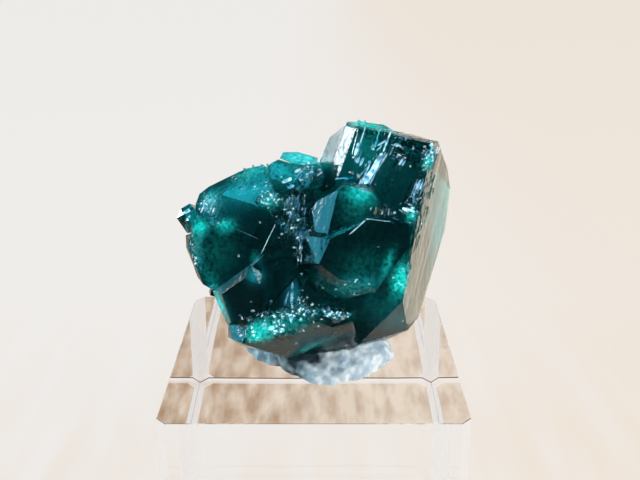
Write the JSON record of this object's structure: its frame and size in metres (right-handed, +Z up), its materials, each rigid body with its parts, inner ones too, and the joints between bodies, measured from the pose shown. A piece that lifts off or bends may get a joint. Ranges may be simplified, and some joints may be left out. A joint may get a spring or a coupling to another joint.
{
  "type": "dioptase mineral specimen",
  "caption": "Cluster of deep green glassy crystals grown together, pressed into white putty on a clear cube, for display.",
  "frame": {"origin": "middle of the cube's underside", "axes": "+X towards the specimen's right, +Y towards its back, +Z up out of the cube"},
  "size_m": [0.02, 0.02, 0.0367],
  "materials": {
    "dioptase": "glassy crystal faces, etched in places",
    "putty": "soft white mineral putty, matte",
    "acrylic": "polished clear acrylic"
  },
  "bodies": {
    "root": {"dioptase_cluster": "dioptase", "mineral_putty": "putty", "acrylic_cube": "acrylic"}
  },
  "joints": []
}
